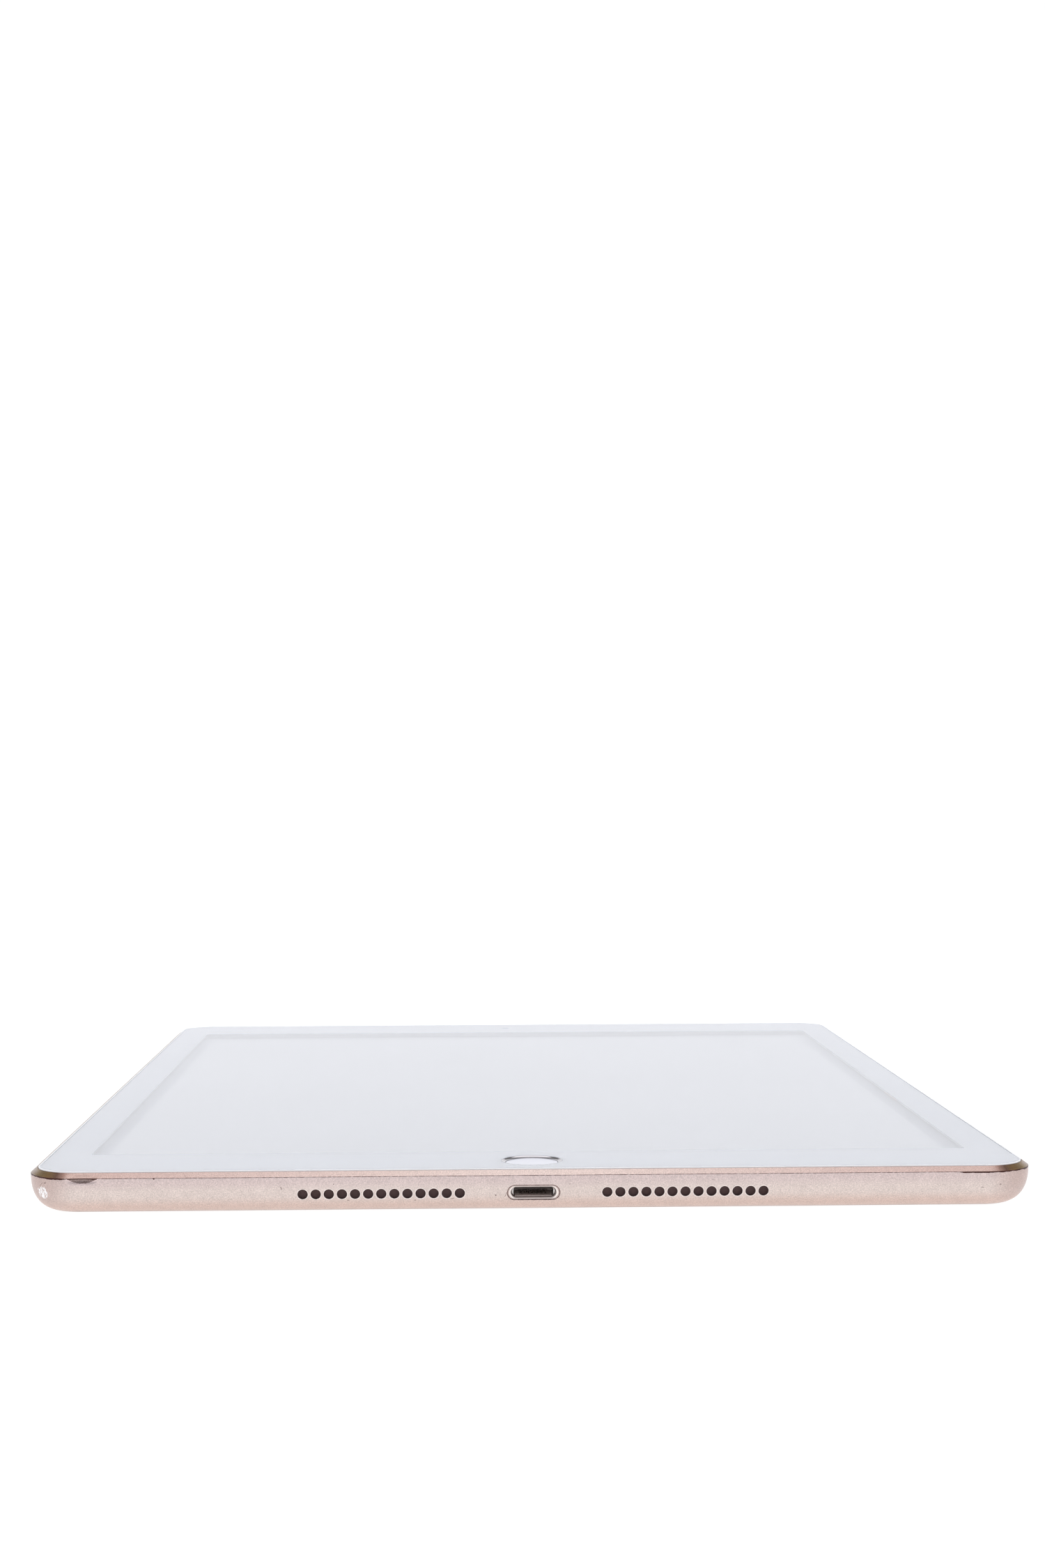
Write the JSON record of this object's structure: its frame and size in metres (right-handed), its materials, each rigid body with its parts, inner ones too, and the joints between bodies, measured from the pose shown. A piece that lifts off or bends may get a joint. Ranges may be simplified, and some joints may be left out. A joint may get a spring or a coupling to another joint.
{
  "type": "tablet computer",
  "caption": "Thin tablet computer with a round home button under the screen, rounded aluminium case, edge charging port, loudspeaker holes and side buttons.",
  "frame": {"origin": "centre of the flat back, which is the bottom centre of the bounding box", "axes": "+Z out of the screen, -Y towards the edge with the charging port and home button, +X towards the edge with the volume buttons"},
  "size_m": [0.1743, 0.2509, 0.0075],
  "materials": {
    "case_aluminium": "bead-blasted, anodised pale rose gold",
    "clear_glass": "polished",
    "white_print": "white print behind glass",
    "white_plastic": "smooth white plastic",
    "black_adhesive": "matt foam tape",
    "touch_film": "clear film",
    "display_surface": "even pale grey picture",
    "grey_foam": "soft grey foam",
    "diffuser_plastic": "white diffuser",
    "steel": "stamped steel",
    "button_crystal": "polished white crystal",
    "button_ring_metal": "polished metal ring",
    "polyimide_flex": "amber flexible circuit",
    "rubber": "matt",
    "chip_black": "moulded chip package",
    "board_green": "solder mask",
    "battery_wrap": "laminated foil wrap",
    "black_plastic": "moulded",
    "speaker_mesh": "fine dark woven mesh",
    "gold_contact": "gold plate",
    "lens_glass": "coated dark glass"
  },
  "bodies": {
    "tablet": {"rear_case": "case_aluminium", "cover_glass": "clear_glass", "border_print": "white_print", "bezel_gasket": "white_plastic", "display_adhesive": "black_adhesive", "touch_sensor": "touch_film", "touch_flex_cable": "polyimide_flex", "lcd_frame": "steel", "lcd_backlight": "diffuser_plastic", "lcd_cell": "display_surface", "lcd_foam": "grey_foam", "lcd_flex_cable": "polyimide_flex", "lcd_screw_1": "steel", "lcd_screw_2": "steel", "lcd_screw_3": "steel", "lcd_screw_4": "steel", "home_button_gasket": "rubber", "home_button_switch": "steel", "home_button_bracket": "steel", "home_button_flex": "polyimide_flex", "power_switch": "black_plastic", "volume_switch_board": "board_green", "button_flex_cable": "polyimide_flex", "logic_board": "board_green", "processor_chip": "chip_black", "flash_memory_chip": "chip_black", "power_chip": "chip_black", "wireless_module": "steel", "board_shield": "steel", "board_screw_1": "steel", "board_screw_2": "steel", "battery_cell_left": "battery_wrap", "battery_cell_right": "battery_wrap", "battery_control_board": "board_green", "battery_lead": "polyimide_flex", "port_shell": "steel", "port_insulator": "black_plastic", "port_contacts": "gold_contact", "port_latch_left": "steel", "port_latch_right": "steel", "port_flex_cable": "polyimide_flex", "speaker_left": "black_plastic", "speaker_right": "black_plastic", "speaker_mesh_left": "speaker_mesh", "speaker_mesh_right": "speaker_mesh", "headphone_jack": "black_plastic", "top_microphone": "steel", "front_camera": "chip_black", "rear_camera": "chip_black", "rear_camera_ring": "button_ring_metal", "rear_camera_lens": "lens_glass", "antenna_left": "gold_contact", "antenna_right": "gold_contact"},
    "home_button": {"home_button_cap": "button_crystal", "home_button_ring": "button_ring_metal", "home_button_sensor": "chip_black", "home_button_base": "steel"},
    "power_key": {"power_button": "case_aluminium"},
    "volume_up_key": {"volume_up_button": "case_aluminium"},
    "volume_down_key": {"volume_down_button": "case_aluminium"}
  },
  "joints": [
    {"name": "home_button_press", "type": "slide", "parent": "tablet", "child": "home_button", "axis": [0, 0, -1], "range_m": [0, 0.0003], "stiffness_N_per_m": 1000},
    {"name": "power_button_press", "type": "slide", "parent": "tablet", "child": "power_key", "axis": [0, -1, 0], "range_m": [0, 0.0003], "stiffness_N_per_m": 1000},
    {"name": "volume_up_press", "type": "slide", "parent": "tablet", "child": "volume_up_key", "axis": [-1, 0, 0], "range_m": [0, 0.0003], "stiffness_N_per_m": 1000},
    {"name": "volume_down_press", "type": "slide", "parent": "tablet", "child": "volume_down_key", "axis": [-1, 0, 0], "range_m": [0, 0.0003], "stiffness_N_per_m": 1000}
  ]
}
